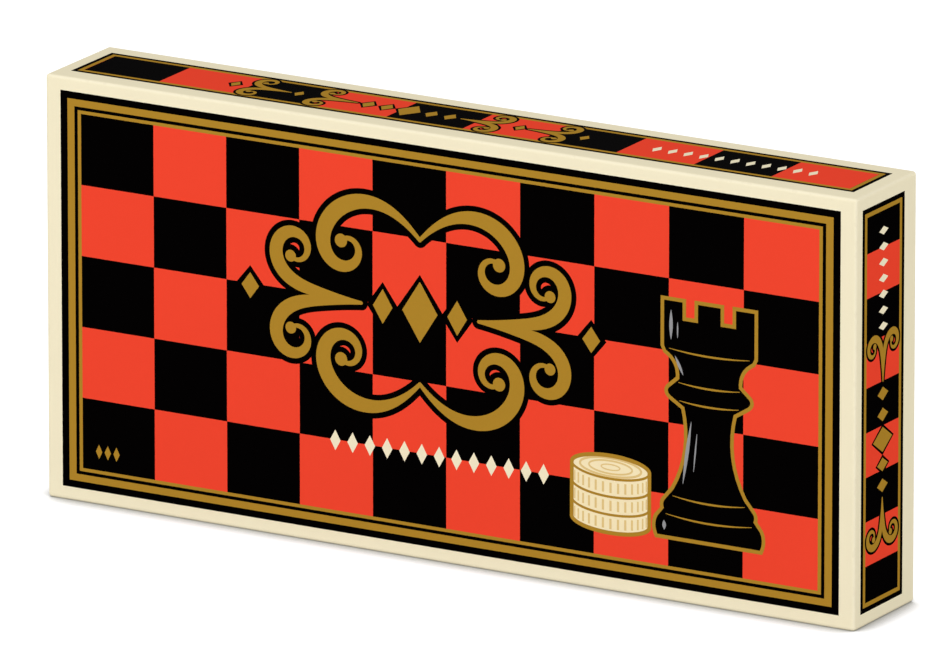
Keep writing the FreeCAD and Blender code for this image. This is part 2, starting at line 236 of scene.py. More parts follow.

# %% [markdown]
# ## Paper grain, edge wear and a painted edge highlight
#
# Two effects come back on almost every surface of this box. Paper is never one even tone: fibres
# make a fine bump, and slow clouds shift its shade by a percent or two. papery() gives a surface that
# grain in its colour, its gloss and its relief. The edge group finds the edges of a box from the
# distances to its faces: on a face, the middle one of the three distances says how far the nearest
# edge is. It gives a paler band along every edge, which is a painted highlight where the rounded fold
# would catch the light, partly paper whitened at the fold, and rubbed patches of real wear, since
# folded edges rub first.

# %% Paper grain group
grain_inputs = {"Vector": (VECTOR, NOWHERE), "Clouds": (FLOAT, 0.03), "Fibres": (FLOAT, 0.03)}
paper_grain, given, made = new_group("paper grain", grain_inputs, {"Shade": FLOAT, "Height": FLOAT})
clouds = noise(given["Vector"], scale=0.035, detail=3.0)
fibres = noise(given["Vector"], scale=2.2, detail=4.0)
shade = times(minus(clouds, 0.5), given["Clouds"])
fleck = times(minus(fibres, 0.5), given["Fibres"])
shade = plus(plus(shade, fleck), 1.0)
feed(made["Shade"], shade)
feed(made["Height"], fibres)


def papery(surface, place, colour, clouds, fibres, roughness, shine, relief=None):
    """Coats a surface with paper grain in its colour, in the range of its roughness and in any relief."""
    grain = use(paper_grain, Vector=place, Clouds=clouds, Fibres=fibres)
    toned = scaled(colour, grain["Shade"])
    coat(surface, toned, ramp(grain["Height"], 0.3, 0.7, *roughness), shine, grain["Height"], relief)


print("group:", paper_grain.name)

# %% Edge wear and painted edge highlight group
wear_inputs = {"Vector": (VECTOR, NOWHERE), "Half Size": (VECTOR, EVEN), "Width": (FLOAT, 1.0)}
edge_wear_and_highlight, given, made = new_group("edge wear and highlight", wear_inputs, {"Edge Highlight": FLOAT, "Rubbed": FLOAT})
outward = vectors("ABSOLUTE", given["Vector"])
gap_x, gap_y, gap_z = axes(vectors("SUBTRACT", given["Half Size"], outward))
least = maths("MINIMUM", gap_x, gap_y)
most = maths("MAXIMUM", gap_x, gap_y)
from_edge = maths("MAXIMUM", least, maths("MINIMUM", most, gap_z))
# The first output is a paler band along every edge: painted highlight where the rounded fold would catch
# the light, partly paper whitened at the folds. The second is rubbed patches of real wear.
feed(made["Edge Highlight"], ramp(from_edge, given["Width"], 0.0))
patches = noise(given["Vector"], scale=0.22, detail=4.0)
rub_width = times(given["Width"], ramp(patches, 0.50, 0.72))
feed(made["Rubbed"], below(from_edge, rub_width))
print("group:", edge_wear_and_highlight.name)

# %% [markdown]
# ## The framed checks
#
# All the printed faces share one design: an ivory margin, then a frame of black and gold lines,
# then a field of red and black cells. One group draws it from two numbers, the distances across and
# up from the middle of the face. The lines come from the depth inside the frame, and the cells from
# whether the column and row add up to an even number.

# %% Framed checks group
check_sizes = {
    "Across": 0.0, "Up": 0.0, "Half Width": 190.0, "Half Height": 90.0, "Side Squeeze": 1.0,
    "Black Line": 2.0, "Gold Line": 2.0, "Thin Black Line": 0.0, "Thin Gold Line": 0.0,
    "Cell Width": 36.0, "Cell Height": 36.0, "First Across": 0.0, "First Up": 0.0,
}
check_inputs = {label: (FLOAT, value) for label, value in check_sizes.items()}
framed_checks, given, made = new_group("framed checks", check_inputs, {"Color": COLOUR, "Ink": FLOAT})


def depth_inside(across, up, half_width, half_height, squeeze=1.0):
    """Distance inward from a rectangle's outline, negative outside it."""
    from_side = minus(half_width, maths("ABSOLUTE", across))
    from_side = times(from_side, squeeze)
    from_end = minus(half_height, maths("ABSOLUTE", up))
    return maths("MINIMUM", from_side, from_end)


def parity(across, up, width, height):
    """0 on even cells and 1 on odd ones."""
    column = maths("FLOOR", maths("DIVIDE", across, width))
    row = maths("FLOOR", maths("DIVIDE", up, height))
    return maths("FLOORED_MODULO", plus(column, row), 2.0)


frame_size = [given[label] for label in ("Half Width", "Half Height", "Side Squeeze")]
depth = depth_inside(given["Across"], given["Up"], *frame_size)
from_left = minus(given["Across"], given["First Across"])
from_top = minus(given["First Up"], given["Up"])
odd = parity(from_left, from_top, given["Cell Width"], given["Cell Height"])
printed = mixed(odd, INK_BLACK, INK_RED)
lines = ["Black Line", "Gold Line", "Thin Black Line", "Thin Gold Line"]
for count in range(len(lines), 0, -1):
    reach = given[lines[0]]
    for label in lines[1:count]:
        reach = plus(reach, given[label])
    on_line = below(depth, reach)
    line_ink = INK_GOLD if "Gold" in lines[count - 1] else INK_BLACK
    printed = mixed(on_line, printed, line_ink)
feed(made["Color"], printed)
feed(made["Ink"], above(depth, 0.0))
print("group:", framed_checks.name)

# %% [markdown]
# ## The printed wrap of the lid
#
# One sheet of paper covers the lid, so one material does too. A point within a fifth of a millimetre
# of a face of the box is on that face, and takes that face's own layout: ten by five cells on the
# front, a row of ten on the long skirts, a column of nine on the ends. Inside the mouth the paper is
# bare. The cells are a little wider than tall, as they are on the photographed panel. A weak noise
# moves the ink's edges by a few hundredths of a millimetre, as a press does.

# %% Lid print
SKIN = 0.2
# Width and share of the paler edge band, a painted highlight partly from paper whitened at the folds, and
# of the rubbed wear along the edges.
WEAR_AND_HIGHLIGHT_WIDTH = 1.3
WEAR_AND_HIGHLIGHT_SHARE = 0.18
front_layout = dict(
    Half_Width=192.4, Half_Height=88.9, Side_Squeeze=0.913, Black_Line=3.2, Gold_Line=3.2,
    Thin_Black_Line=1.5, Thin_Gold_Line=1.5, Cell_Width=36.42, Cell_Height=31.84, First_Across=-182.1,
    First_Up=79.6,
)
long_layout = dict(
    Half_Width=193.0, Half_Height=17.0, Black_Line=2.1, Gold_Line=2.0, Cell_Width=37.76, Cell_Height=60.0,
    First_Across=-188.8, First_Up=30.0,
)
end_layout = dict(
    Half_Width=88.9, Half_Height=18.3, Black_Line=2.2, Gold_Line=1.9, Cell_Width=19.65, Cell_Height=60.0,
    First_Across=-9.83, First_Up=30.0,
)
LONG_STRIP_BACK = 1.0
END_STRIP_BACK = -2.3
WOBBLE = (0.16, 0.16, 0.16)
HALF = (0.5, 0.5, 0.5)


def ink_wobble(place):
    """The same place, moved a little by the press."""
    unsteady = add("ShaderNodeTexNoise", {"Vector": place, "Scale": 1.3, "Detail": 2.0})
    centred = vectors("SUBTRACT", unsteady.outputs["Color"], HALF)
    return vectors("MULTIPLY_ADD", centred, WOBBLE, place)


printed_wrap, tree, surface = new_material("printed_wrap")
place = millimetres(tree, box_middle)
half = (lid_high - lid_low) / 2 / MM
x, y, z = axes(place)
ink_x, ink_y, ink_z = axes(ink_wobble(place))
on_front = below(y, SKIN - half.y)
on_long = above(maths("ABSOLUTE", z), half.z - SKIN)
on_end = above(maths("ABSOLUTE", x), half.x - SKIN)
strip_depth = minus(ink_y, LONG_STRIP_BACK)
end_depth = minus(ink_y, END_STRIP_BACK)
faces = [
    (on_front, use(framed_checks, Across=ink_x, Up=ink_z, **front_layout)),
    (on_long, use(framed_checks, Across=ink_x, Up=strip_depth, **long_layout)),
    (on_end, use(framed_checks, Across=ink_z, Up=end_depth, **end_layout)),
]
colour = PAPER_IVORY
for on_face, drawn in faces:
    colour = mixed(times(on_face, drawn["Ink"]), colour, drawn["Color"])
# A paler band along the edges is painted highlight, partly paper whitened at the folds; the darker rubbed
# patches are real wear.
wear_and_highlight = use(edge_wear_and_highlight, Vector=place, Half_Size=half, Width=WEAR_AND_HIGHLIGHT_WIDTH)
colour = mixed(times(wear_and_highlight["Edge Highlight"], WEAR_AND_HIGHLIGHT_SHARE), colour, EDGE_HIGHLIGHT_WHITE)
colour = mixed(times(wear_and_highlight["Rubbed"], WEAR_AND_HIGHLIGHT_SHARE), colour, PAPER_RUBBED)
papery(
    surface, place, colour, clouds=0.035, fibres=0.045, roughness=(0.50, 0.62), shine=PRINT_SHINE,
    relief=(0.25, 0.02),
)
dress(printed_wrap, "lid_wrap")
print("lid print on", nodes["lid_wrap"].name)

# %% [markdown]
# ## Plain paper, greyboard and the base
#
# The base's own wrap shows only at the back of the closed box. It has the same ivory paper with one
# plain frame of lines and a small board in the middle. Greyboard is pressed from waste paper: a warm
# grey, felted from short fibres, with slow streaks along the mill's direction and a few dark and
# light flecks. The same fibre group serves every board in the box.

# %% Greyboard
STREAK_SHARE = 0.2
PULP_DEEP = rgb(164, 153, 134)
PULP_PALE = rgb(188, 178, 159)
board_inputs = {"Vector": (VECTOR, NOWHERE), "Flecks": (FLOAT, 0.5)}
board_fibres, given, made = new_group("board fibres", board_inputs, {"Color": COLOUR, "Height": FLOAT})
felted = noise(given["Vector"], scale=1.9, detail=5.0)
streaks = noise(given["Vector"], scale=0.25, detail=4.0, stretch=(0.3, 1.0, 1.0))
streaky = minus(streaks, felted)
mottle = maths("MULTIPLY_ADD", streaky, STREAK_SHARE, felted)
pulp = mixed(ramp(mottle, 0.36, 0.64), PULP_DEEP, PULP_PALE)
flecks = (
    (1.5, (0.6, 1.0, 1.4), 0.75, rgb(96, 88, 80)), (1.2, (1.4, 1.0, 0.6), 0.76, rgb(214, 206, 190)),
)
for scale, stretch, full, fleck in flecks:
    spots = ramp(noise(given["Vector"], scale, detail=1.0, stretch=stretch), 0.70, full)
    pulp = mixed(times(spots, given["Flecks"]), pulp, fleck)
feed(made["Color"], pulp)
feed(made["Height"], felted)

greyboard, tree, surface = new_material("greyboard_pulp")
fibre = use(board_fibres, Vector=millimetres(tree), Flecks=0.7)
roughness = ramp(fibre["Height"], 0.3, 0.7, 0.78, 0.92)
coat(surface, fibre["Color"], roughness, shine=0.15, height=fibre["Height"], relief=(0.35, 0.08))
boards = ["lid_board", "base_board"]
boards += [name for name in nodes if name.startswith(("partition_", "pawn_shelf_"))]
dress(greyboard, *boards)
print("greyboard on", len(boards), "nodes")

# %% Base wrap
BACK_FRAME = (186.0, 84.5)
back_lines = ((0.0, 2.6, INK_BLACK), (2.6, 5.2, INK_GOLD), (7.2, 8.2, INK_BLACK))
back_layout = dict(
    Half_Width=54.0, Half_Height=54.0, Black_Line=1.4, Gold_Line=1.6, Thin_Black_Line=0.6,
    Thin_Gold_Line=0.8, Cell_Width=12.4, Cell_Height=12.4, First_Across=-49.6, First_Up=49.6,
)
# Width and share of the painted highlight along the base's edges, partly paper whitened at the folds.
BASE_HIGHLIGHT_WIDTH = 1.2
BASE_HIGHLIGHT_SHARE = 0.4
base_middle = (base_low + base_high) / 2
base_half = (base_high - base_low) / 2 / MM
base_paper, tree, surface = new_material("base_paper")
place = millimetres(tree, base_middle)
x, _, z = axes(ink_wobble(place))
on_back = above(axes(place)[1], base_half.y - SKIN)
depth = depth_inside(x, z, *BACK_FRAME)
colour = PAPER_IVORY
for inner, outer, line_ink in back_lines:
    inside = above(depth, inner)
    line = times(inside, below(depth, outer))
    colour = mixed(times(line, on_back), colour, line_ink)
small_board = use(framed_checks, Across=x, Up=z, **back_layout)
colour = mixed(times(small_board["Ink"], on_back), colour, small_board["Color"])
# A paler band along the edges: painted highlight, partly paper whitened at the folds.
wear_and_highlight = use(edge_wear_and_highlight, Vector=place, Half_Size=base_half, Width=BASE_HIGHLIGHT_WIDTH)
colour = mixed(times(wear_and_highlight["Edge Highlight"], BASE_HIGHLIGHT_SHARE), colour, EDGE_HIGHLIGHT_WHITE)
papery(
    surface, place, colour, clouds=0.05, fibres=0.06, roughness=(0.60, 0.74), shine=0.12,
    relief=(0.3, 0.025),
)
dress(base_paper, "base_wrap")
print("base paper on", nodes["base_wrap"].name)

# %% [markdown]
# ## The folding board
#
# The playing face is printed with eight by eight squares, and the outside is covered with black
# embossed paper. At rest the two leaves are folded face to face about a crease at their top edge,
# so a square's row is counted from the distance to that crease, and the front leaf counts the other
# way. The crease itself bends, so it carries that distance as an attribute of its own mesh.

# %% Board print
fold_low, fold_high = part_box("board_crease")
fold_y = (fold_low.y + fold_high.y) / 2
leaf_low, leaf_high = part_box("board_leaf_back")
FOLD_ABOVE = 0.1
fold_z = leaf_high.z + FOLD_ABOVE * MM
SQUARE = 40.0
FIELD = 4 * SQUARE

square_inputs = {"Across": (FLOAT, 0.0), "From Fold": (FLOAT, 0.0)}
board_squares, given, made = new_group("board squares", square_inputs, {"Color": COLOUR})
odd = parity(given["Across"], given["From Fold"], SQUARE, SQUARE)
played = mixed(odd, INK_BLACK, INK_RED)
depth = depth_inside(given["Across"], given["From Fold"], FIELD, FIELD)
frames = ((0.0, INK_GOLD), (-1.6, INK_BLACK), (-3.4, INK_GOLD), (-6.2, INK_BLACK), (-9.4, PAPER_IVORY))
for reach, line_ink in frames:
    played = mixed(below(depth, reach), played, line_ink)
feed(made["Color"], played)


def board_sheet(name, from_fold_of):
    """Printed playing sheet, with the signed distance from the fold that from_fold_of finds."""
    material, tree, surface = new_material(name)
    place = millimetres(tree)
    across = axes(ink_wobble(place))[0]
    squares = use(board_squares, Across=across, From_Fold=from_fold_of(tree))
    papery(
        surface, place, squares["Color"], clouds=0.05, fibres=0.05, roughness=(0.42, 0.55),
        shine=0.04, relief=(0.2, 0.02),
    )
    return material


def folded_distance(tree):
    """Distance from the fold, negative on the front leaf."""
    y, z = axes(millimetres(tree, (0.0, fold_y, fold_z)))[1:]
    return times(times(z, -1.0), maths("SIGN", y))


def carried_distance(tree):
    """The same distance, as the crease's mesh carries it."""
    return add("ShaderNodeAttribute", {}, tree, attribute_name="from_fold").outputs["Fac"]


board_print = board_sheet("board_print", folded_distance)
crease_print = board_sheet("crease_print", carried_distance)
dress(board_print, "board_print_front", "board_print_back")
print("board: squares of", SQUARE, "mm")

# %% Embossed cover
FOIL_LINE = 1.4
FOIL_FRAME = (172.0, 82.0)
board_cover, tree, surface = new_material("embossed_cover")
place = millimetres(tree, ((leaf_low.x + leaf_high.x) / 2, 0.0, (leaf_low.z + leaf_high.z) / 2))
x, _, z = axes(place)
pebbling = {"Vector": place, "Scale": 0.9, "Randomness": 0.9}
pebbles = add("ShaderNodeTexVoronoi", pebbling, feature="SMOOTH_F1")
height = ramp(pebbles.outputs["Distance"], 0.15, 0.65, 1.0, 0.0)
depth = depth_inside(x, z, *FOIL_FRAME)
inside = above(depth, 0.0)
foil = times(inside, below(depth, FOIL_LINE))
leather = mixed(height, rgb(14, 13, 13), rgb(34, 32, 31))
roughness = ramp(height, 0.0, 1.0, 0.62, 0.46)
colour = mixed(foil, leather, INK_GOLD)
coat(surface, colour, roughness, shine=0.35, height=height, relief=(0.5, 0.12))
dress(board_cover, "board_leaf_front", "board_leaf_back")
print("cover with a foil line of", FOIL_LINE, "mm")

# %% Crease
WELD = 0.001


def merged_copy(name, node):
    """New object with a welded copy of a CAD node's mesh, free of the normals it was made with."""
    mesh = nodes[node].data.copy()
    mesh.name = name
    mesh.attributes.remove(mesh.attributes["custom_normal"])
    form = bmesh.new()
    form.from_mesh(mesh)
    bmesh.ops.remove_doubles(form, verts=form.verts, dist=WELD * MM)
    form.to_mesh(mesh)
    form.free()
    return new_object(name, mesh)


SHARP = math.radians(30)
crease = merged_copy("board_crease_sheet", "board_crease")
crease.data.materials.clear()
crease.data.materials.append(crease_print)
carried = crease.data.attributes.new("from_fold", "FLOAT", "POINT")
for point, value in zip(crease.data.vertices, carried.data):
    side = 1.0 if point.co.y > fold_y else -1.0
    value.value = side * max(fold_z - point.co.z, 0.0) / MM
crease.data.set_sharp_from_angle(angle=SHARP)
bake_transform(crease)
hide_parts("board_crease")
print("crease of", len(crease.data.polygons), "faces")

# %% [markdown]
# ## The rules leaflet
#
# One sheet of thin paper, folded once, printed with rows of grey bars and two small board diagrams.
# The rows are drawn by the remainder of the height, as any regular ruling can be. They end at uneven
# places because a white noise, constant within one row, picks each row's length.

# %% Leaflet
ROW_PITCH = 4.2
ROW_ENDS = (66.0, 84.0)
BAR_HALF_SHARE = 0.17
BAR_INK_SHARE = 0.75
COLUMN = 92.0
COLUMN_LEFT = 8.0
TEXT_MIDDLE = 46.0
TEXT_HALF = 34.0
DIAGRAM = 48.0
DIAGRAM_MIDDLE = 112.0
leaflet_low, leaflet_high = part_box("rules_leaflet")
leaflet, tree, surface = new_material("leaflet_print")
place = millimetres(tree, ((leaflet_low.x + leaflet_high.x) / 2, leaflet_low.y, leaflet_low.z))
x, _, z = axes(place)
row = maths("FLOOR", maths("DIVIDE", z, ROW_PITCH))
within_row = maths("FRACT", maths("DIVIDE", z, ROW_PITCH))
column = maths("FLOOR", maths("DIVIDE", x, COLUMN))
within_column = maths("FLOORED_MODULO", x, COLUMN)
key = add("ShaderNodeCombineXYZ", {0: row, 1: column}).outputs[0]
raggedness = add("ShaderNodeTexWhiteNoise", {"Vector": key}, noise_dimensions="2D").outputs["Value"]
row_end = ramp(raggedness, 0.0, 1.0, *ROW_ENDS)
off_bar = maths("ABSOLUTE", minus(within_row, 0.5))
off_text = maths("ABSOLUTE", minus(z, TEXT_MIDDLE))
from_middle = maths("ABSOLUTE", x)
bar = above(within_column, COLUMN_LEFT)
bar_limits = (
    (off_bar, BAR_HALF_SHARE), (within_column, row_end), (from_middle, COLUMN), (off_text, TEXT_HALF),
)
for value, limit in bar_limits:
    bar = times(bar, below(value, limit))
diagram_x = minus(from_middle, COLUMN / 2)
diagram_z = minus(z, DIAGRAM_MIDDLE)
depth = depth_inside(diagram_x, diagram_z, DIAGRAM / 2, DIAGRAM / 2)
in_diagram = above(depth, 0.0)
odd = parity(diagram_x, diagram_z, DIAGRAM / 8, DIAGRAM / 8)
inked = times(bar, BAR_INK_SHARE)
colour = mixed(inked, rgb(246, 243, 234), rgb(70, 68, 66))
colour = mixed(times(in_diagram, odd), colour, rgb(120, 116, 110))
papery(
    surface, place, colour, clouds=0.05, fibres=0.05, roughness=(0.68, 0.80), shine=0.15,
    relief=(0.25, 0.02),
)
dress(leaflet, "rules_leaflet")
print("leaflet rows every", ROW_PITCH, "mm")

# %% [markdown]
# ## Moulded plastic men
#
# The chessmen and checkers are injection moulded in two colours. Moulded plastic is smooth but not
# perfect: the melt leaves slow flow marks, and handling leaves fine scuffs that change the gloss
# more than the colour. One group gives both, and the two plastics use it with their own colours.

# %% Plastics
plastic_inputs = {"Vector": (VECTOR, NOWHERE), "Scuffs": (FLOAT, 0.1)}
plastic_outputs = {"Flow": FLOAT, "Gloss": FLOAT, "Height": FLOAT}
moulded, given, made = new_group("moulded plastic", plastic_inputs, plastic_outputs)
flow = noise(given["Vector"], scale=0.06, detail=3.0, stretch=(1.0, 1.0, 0.35))
rubs = noise(given["Vector"], scale=1.1, detail=5.0, stretch=(1.0, 1.0, 0.3))
feed(made["Flow"], flow)
feed(made["Gloss"], times(ramp(rubs, 0.52, 0.68), given["Scuffs"]))
feed(made["Height"], noise(given["Vector"], scale=0.7, detail=3.0))


def plastic(name, deep, pale, roughness, scuffs):
    """Moulded plastic between two shades."""
    material, tree, surface = new_material(name)
    melt = use(moulded, Vector=millimetres(tree), Scuffs=scuffs)
    colour = mixed(ramp(melt["Flow"], 0.35, 0.65), deep, pale)
    roughness = plus(melt["Gloss"], roughness)
    coat(surface, colour, roughness, shine=0.45, height=melt["Height"], relief=(0.15, 0.03))
    return material


ivory_shades = (rgb(232, 217, 178), rgb(242, 230, 198))
black_shades = (rgb(15, 14, 14), rgb(25, 23, 23))
ivory_plastic = plastic("ivory_plastic_melt", *ivory_shades, roughness=0.30, scuffs=0.16)
black_plastic = plastic("black_plastic_melt", *black_shades, roughness=0.24, scuffs=0.18)
dress(ivory_plastic, *[name for name in nodes if name.startswith("ivory_")])
dress(black_plastic, *[name for name in nodes if name.startswith("black_")])
print("plastics on", sum(name.startswith(("ivory_", "black_")) for name in nodes), "nodes")

# %% [markdown]
# ## Carved knights
#
# A knight is the one man that no lathe can turn. The CAD solid gives its outlines from three sides,
# with hard edges where they meet, but a moulded knight is rounded and carved. So a copy of the solid
# is rebuilt from even, small faces by a voxel remesh, and the head is relaxed until its edges are
# round. Then every point is pushed in along its normal by a depth that a few plain formulas give:
# locks in the mane, a mouth, nostrils, cheeks and eyes. One mesh serves all four knights.

# %% Where a knight is carved
NECK = 17.0
LOCK_PITCH = 4.2
MANE_DEPTH = 4.6
NECK_BACK = 9.07
BACK_CURVES = ((2.0, 26.0, -9.5), (3.5, 41.0, 7.5))
LOCKS_START = (NECK + 1.0, NECK + 4.0)
LOCKS_END = (50.0, 46.0)
EDGE_START = (NECK + 2.0, NECK + 5.0)
EDGE_END = (49.0, 45.0)
LOCK_SLANT = 0.75
SIDE_SHARES = (0.2, 0.6)
MOUTH = (Vector((-14.0, 28.4)), Vector((-8.4, 30.4)))
NOSTRIL = Vector((-11.6, 31.8))
EYE = Vector((-4.9, 39.6))
CHEEK = Vector((-1.8, 32.6))
CHEEK_RADIUS = 4.8
CHEEK_FRONT = (-5.0, -2.0)
LOCK_CUT = 0.62
cuts = {
    "mane edge": (0.50, 0.9), "mouth": (0.60, 0.75), "nostril": (0.60, 1.0), "eye": (0.75, 2.4),
    "eyeball": (0.85, 1.3), "cheek": (0.55, 1.2),
}


def eased(value, low, high):
    """0 below low, 1 above high, and smooth between them."""
    share = min(max((value - low) / (high - low), 0.0), 1.0)
    return share * share * (3 - 2 * share)


def hollow(distance, radius):
    """1 in the middle of a round hollow, and 0 from its radius on."""
    return max(1 - (distance / radius) ** 2, 0.0) ** 2


def cut(part, distance):
    """Depth of one carved part at a distance from its middle, from the part's depth and radius."""
    depth, radius = cuts[part]
    return depth * hollow(distance, radius)


def mane_inside(y, z):
    """How far a point of the neck lies inside the mane, whose edge follows the neck's back."""
    back = NECK_BACK
    for pull, start, reach in BACK_CURVES:
        back -= pull * max((z - start) / reach, 0.0) ** 2
    return y - back + MANE_DEPTH


def carved_depth(point, normal):
    """How far a point moves in, all in millimetres from the middle of the knight's foot."""
    y, z = point.y, point.z
    flat = Vector((y, z))
    beside = eased(abs(normal.x), *SIDE_SHARES)
    inside = mane_inside(y, z)
    in_mane = eased(inside, 0.0, 0.9) * eased(z, *LOCKS_START) * eased(z, *LOCKS_END)
    lock = 0.5 + 0.5 * math.cos(math.tau * (z - LOCK_SLANT * y) / LOCK_PITCH)
    depth = LOCK_CUT * lock ** 3 * in_mane
    depth += cut("mane edge", inside) * eased(z, *EDGE_START) * eased(z, *EDGE_END)
    start, end = MOUTH
    along = min(max((flat - start).dot(end - start) / (end - start).length_squared, 0.0), 1.0)
    depth += cut("mouth", (flat - start - (end - start) * along).length)
    depth += cut("nostril", (flat - NOSTRIL).length) * beside
    from_eye = (flat - EYE).length
    depth += (cut("eye", from_eye) - cut("eyeball", from_eye)) * beside
    from_cheek = (flat - CHEEK).length - CHEEK_RADIUS
    depth += cut("cheek", from_cheek) * eased(y, *CHEEK_FRONT) * beside
    return depth


print("mane locks every", LOCK_PITCH, "mm")

# %% Carve one knight
VOXEL = 0.42
RELAXED = 22
MODEL_KNIGHT = "black_knight_left"
EVERY_WAY = dict(use_axis_x=True, use_axis_y=True, use_axis_z=True)


def foot(node):
    """Middle of a man's underside."""
    low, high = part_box(node)
    return Vector(((low.x + high.x) / 2, (low.y + high.y) / 2, low.z))


blank = merged_copy("knight_blank", MODEL_KNIGHT)
rebuild = blank.modifiers.new("even faces", "REMESH")
rebuild.mode = "VOXEL"
rebuild.voxel_size = VOXEL * MM
carving = bpy.data.meshes.new_from_object(blank.evaluated_get(bpy.context.evaluated_depsgraph_get()))
bpy.data.objects.remove(blank)
carving.transform(Matrix.Scale(MM_PER_METRE, 4) @ Matrix.Translation(-foot(MODEL_KNIGHT)))
form = bmesh.new()
form.from_mesh(carving)
head = [vert for vert in form.verts if vert.co.z > NECK]
for _ in range(RELAXED):
    bmesh.ops.smooth_vert(form, verts=head, factor=0.5, **EVERY_WAY)
form.normal_update()
moves = [vert.normal * -carved_depth(vert.co, vert.normal) for vert in head]
for vert, move in zip(head, moves):
    vert.co += move
for face in form.faces:
    face.smooth = True
head_points = len(head)
form.to_mesh(carving)
form.free()
carving.transform(Matrix.Scale(MM, 4))
print("carved head of", head_points, "points")

# %% Set out four knights
for colour, finish in (("ivory", ivory_plastic), ("black", black_plastic)):
    for side in ("left", "right"):
        node = f"{colour}_knight_{side}"
        mesh = carving.copy()
        mesh.name = node + "_carved"
        mesh.transform(Matrix.Translation(foot(node)))
        mesh.materials.clear()
        mesh.materials.append(finish)
        piece = new_object(mesh.name, mesh)
        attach(piece, node)
        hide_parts(node)
print("four knights of", len(carving.polygons), "faces")

# %% [markdown]
# ## Scroll ornaments
#
# The printed faces carry scroll ornaments in gold with a black outline. A scroll is a stroke whose
# curvature grows along its length, so its path comes from adding up small steps while the heading
# turns faster and faster. It could be painted by a shader, but each stroke here is a thin closed
# slab a few hundredths of a millimetre proud of the paper, which keeps its edge sharp at any
# distance. Round dots finish its two ends. The black outline is the same form, wider and a little
# lower. Parts that overlap differ a little in height, so that no two faces lie in one plane.

# %% Inks and faces
def ink(name, colour):
    """Printing ink with the paper's grain in it."""
    material, tree, surface = new_material(name)
    papery(
        surface, millimetres(tree), colour[:3], clouds=0.04, fibres=0.05, roughness=(0.48, 0.60),
        shine=PRINT_SHINE,
    )
    return material


gold_ink = ink("gold_ink", INK_GOLD)
black_ink = ink("black_ink", INK_BLACK)
cream_ink = ink("cream_ink", rgb(244, 233, 200))
grey_ink = ink("grey_ink", rgb(150, 150, 152))
disc_ink = ink("disc_ink", rgb(248, 232, 189))
tan_ink = ink("tan_ink", rgb(226, 196, 132))


def face_matrix(origin, right, up):
    """Matrix from a face's own millimetres (right, up, outwards) to the shared frame."""
    right, up = Vector(right), Vector(up)
    turn = Matrix((right, up, right.cross(up))).transposed().to_4x4()
    return Matrix.Translation(origin) @ turn @ Matrix.Scale(MM, 4)


front_face = face_matrix((0, lid_low.y, box_middle.z), (1, 0, 0), (0, 0, 1))
top_face = face_matrix((0, LONG_STRIP_BACK * MM, lid_high.z), (1, 0, 0), (0, 1, 0))
right_face = face_matrix((lid_high.x, END_STRIP_BACK * MM, box_middle.z), (0, 0, 1), (0, -1, 0))
left_face = face_matrix((lid_low.x, END_STRIP_BACK * MM, box_middle.z), (0, 0, 1), (0, 1, 0))
back_face = face_matrix((0, base_high.y, box_middle.z), (-1, 0, 0), (0, 0, 1))
print("six inks and five faces")

# %% Slabs of ink
LEVEL = 0.015
SUNK = 0.05
SAME = 0.00001
UNDER, OVER, RIM, BODY, MARKS = range(1, 6)


def unfolded(rail, path):
    """The rail, with each stretch that runs back along its path drawn together into one point."""
    kept = [rail[0]]
    for n in range(1, len(path)):
        onward = path[n] - path[n - 1]
        kept.append(rail[n] if (rail[n] - kept[-1]).dot(onward) > 0 else kept[-1])
    return kept


def slab(form, left, right, level, closed=False):
    """Thin closed slab between two rails of (x, y) points, a number of ink levels high."""
    top = level * LEVEL
    rows = []
    for a, b in zip(left, right):
        section = ((a, -SUNK), (b, -SUNK), (b, top), (a, top))
        rows.append([form.verts.new((*point, z)) for point, z in section])
    for row, following in zip(rows, rows[1:] + rows[:1] if closed else rows[1:]):
        for n in range(4):
            form.faces.new((row[n], following[n], following[n - 3], row[n - 3]))
    if not closed:
        form.faces.new(rows[0])
        form.faces.new(reversed(rows[-1]))


def plate(form, outline, level):
    """Thin closed slab inside one outline of (x, y) points."""
    low = [form.verts.new((*point, -SUNK)) for point in outline]
    high = [form.verts.new((*point, level * LEVEL)) for point in outline]
    form.faces.new(reversed(low))
    form.faces.new(high)
    for n in range(len(outline)):
        form.faces.new((low[n - 1], low[n], high[n], high[n - 1]))


def lay_print(name, mesh, body="lid", slot="printed_paper"):
    """Finished print on the lid, or on another body."""
    mesh.name = name
    piece = new_object(name, mesh)
    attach(piece, body)


def ink_piece(name, form, face, material, **carrier):
    """Finished print from a form in a face's millimetres."""
    bmesh.ops.remove_doubles(form, verts=form.verts, dist=SAME)
    bmesh.ops.recalc_face_normals(form, faces=form.faces)
    mesh = bpy.data.meshes.new(name)
    form.to_mesh(mesh)
    form.free()
    mesh.transform(face)
    mesh.materials.append(material)
    lay_print(name, mesh, **carrier)


print("ink levels of", LEVEL, "mm")

# %% Scroll strokes
STEP = 0.8
TIP_SHARE = 0.24
SWELL = 1.3
tall_runs = [(24, -0.01, -0.036), (30, -0.036, -0.046), (34, -0.046, -0.13), (18, -0.13, -0.22)]
long_runs = [(22, 0.0, 0.006), (24, 0.006, 0.075), (30, 0.075, 0.15), (14, 0.15, 0.22)]


def scroll_path(start, heading, runs):
    """Points along a stroke whose curvature changes evenly along each of its runs."""
    point = Vector(start)
    turn = math.radians(heading)
    points = [point.copy()]
    for length, first, last in runs:
        steps = round(length / STEP)
        for n in range(steps):
            bend = (first + (last - first) * (n + 0.5) / steps) * length / steps
            turn += bend / 2
            point = point + Vector((math.cos(turn), math.sin(turn))) * length / steps
            turn += bend / 2
            points.append(point)
    return points


